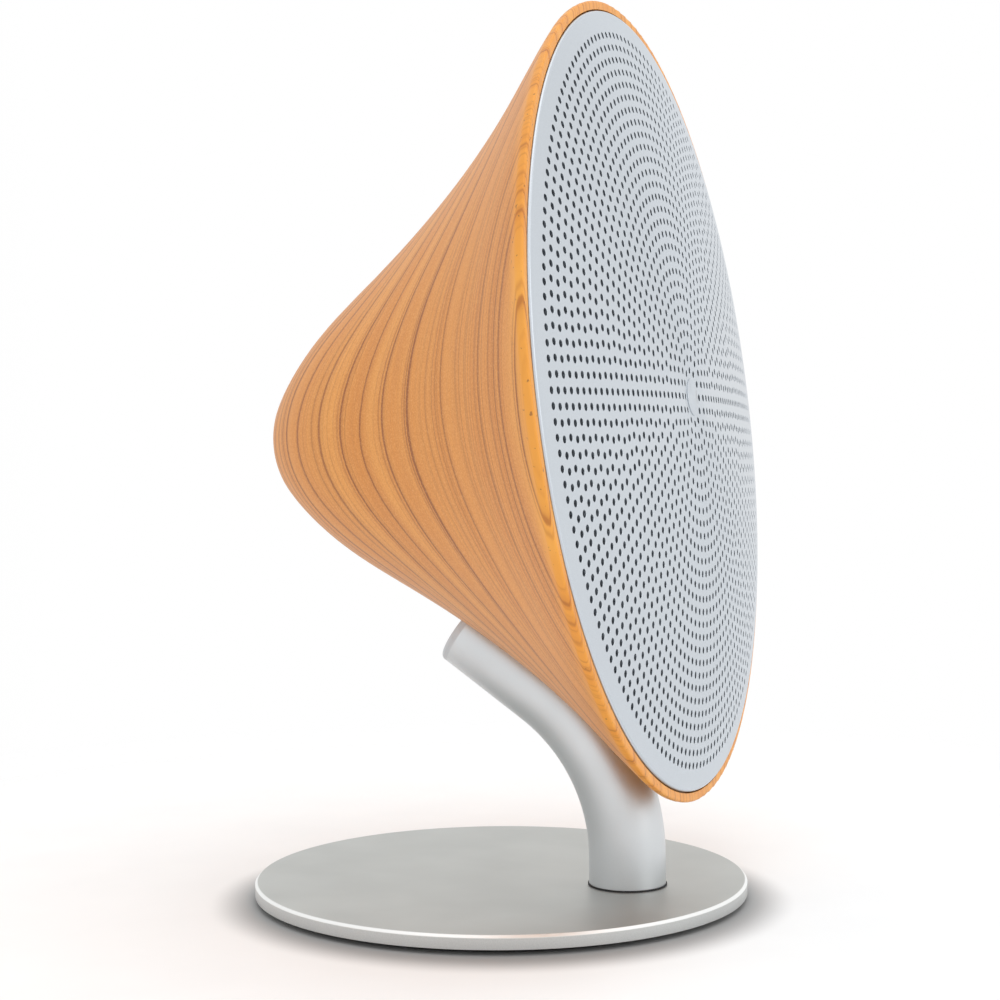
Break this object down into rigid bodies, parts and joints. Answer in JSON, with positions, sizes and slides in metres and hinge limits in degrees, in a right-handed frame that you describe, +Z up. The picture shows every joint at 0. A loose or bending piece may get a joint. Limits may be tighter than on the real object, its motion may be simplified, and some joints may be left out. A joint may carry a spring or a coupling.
{
  "type": "horn-shaped table loudspeaker",
  "caption": "Small powered loudspeaker: a turned wooden horn with a perforated metal front on a bent metal tube and a round base plate.",
  "frame": {"origin": "on the floor, at the centre of the round base plate's underside pad", "axes": "+Z up; the horn's mouth faces -Y and looks 7 degrees upwards; X is across, and the part is symmetric about the YZ plane"},
  "size_m": [0.204, 0.13, 0.2317],
  "materials": {
    "base_metal": "fine satin, bright chamfered edge",
    "foot_rubber": "matt elastomer sheet",
    "dark_gasket": "matt thin sheet",
    "stem_aluminium": "bead-blasted and anodised, natural silver",
    "plain_aluminium": "as machined",
    "screw_steel": "zinc plated",
    "cap_plastic": "silver-grey moulded, fine spark texture",
    "button_plastic": "dark grey moulded",
    "black_plastic": "black moulded",
    "clear_plastic": "clear light pipe",
    "board_green": "solder-masked board",
    "socket_steel": "drawn and plated shell",
    "horn_wood": "light brown timber with fine lines, satin clear lacquer",
    "grille_aluminium": "perforated, natural anodised, fine satin",
    "speaker_cloth": "black acoustic cloth",
    "foam_black": "closed-cell foam",
    "baffle_board": "black moulded plate",
    "basket_steel": "black coated pressing",
    "zinc_steel": "yellow-passivated",
    "ferrite": "sintered ferrite",
    "coil_former": "brown wound former",
    "coil_copper": "enamelled wire",
    "cone_paper": "black pulp paper",
    "spider_cloth": "resin-treated cloth",
    "strip_board": "phenolic strip",
    "chip_black": "moulded chips",
    "plug_white": "nylon plug housings",
    "cell_wrap": "shrink-sleeved cell",
    "lead_red": "silicone lead",
    "lead_black": "silicone lead"
  },
  "bodies": {
    "cabinet": {"base_plate": "base_metal", "foot_pad": "foot_rubber", "stem_gasket": "dark_gasket", "stem_plug": "plain_aluminium", "stem_screws": "screw_steel", "stem_tube": "stem_aluminium", "saddle_block": "plain_aluminium", "saddle_screws": "screw_steel", "saddle_washers": "screw_steel", "rear_end_cap": "cap_plastic", "power_switch": "black_plastic", "usb_socket": "socket_steel", "port_board": "board_green", "light_pipe": "clear_plastic", "horn_shell": "horn_wood", "grille": "grille_aluminium", "grille_badge": "grille_aluminium", "acoustic_cloth": "speaker_cloth", "grille_gasket": "foam_black", "baffle": "baffle_board", "baffle_screws": "screw_steel", "driver_gasket": "foam_black", "driver_basket": "basket_steel", "driver_screws": "screw_steel", "driver_top_plate": "zinc_steel", "driver_magnet": "ferrite", "driver_yoke": "zinc_steel", "surround": "foam_black", "spider": "spider_cloth", "terminal_strip": "strip_board", "main_board": "board_green", "board_screws": "screw_steel", "board_chips": "chip_black", "board_connectors": "plug_white", "battery_holder": "black_plastic", "battery_cell": "cell_wrap", "holder_screws": "screw_steel", "speaker_lead": "lead_red", "battery_lead": "lead_red", "port_lead": "lead_black"},
    "diaphragm": {"coil_former": "coil_former", "voice_coil": "coil_copper", "cone": "cone_paper", "dust_cap": "cone_paper"},
    "button": {"power_button": "button_plastic"}
  },
  "joints": [
    {"name": "cone_travel", "type": "slide", "parent": "cabinet", "child": "diaphragm", "axis": [0, -0.9925, 0.1219], "range_m": [-0.0025, 0.0025], "stiffness_N_per_m": 800, "deforming": ["surround", "spider"]},
    {"name": "button_press", "type": "slide", "parent": "cabinet", "child": "button", "axis": [0, -0.8171, -0.5764], "range_m": [0, 0.0006], "stiffness_N_per_m": 500}
  ]
}
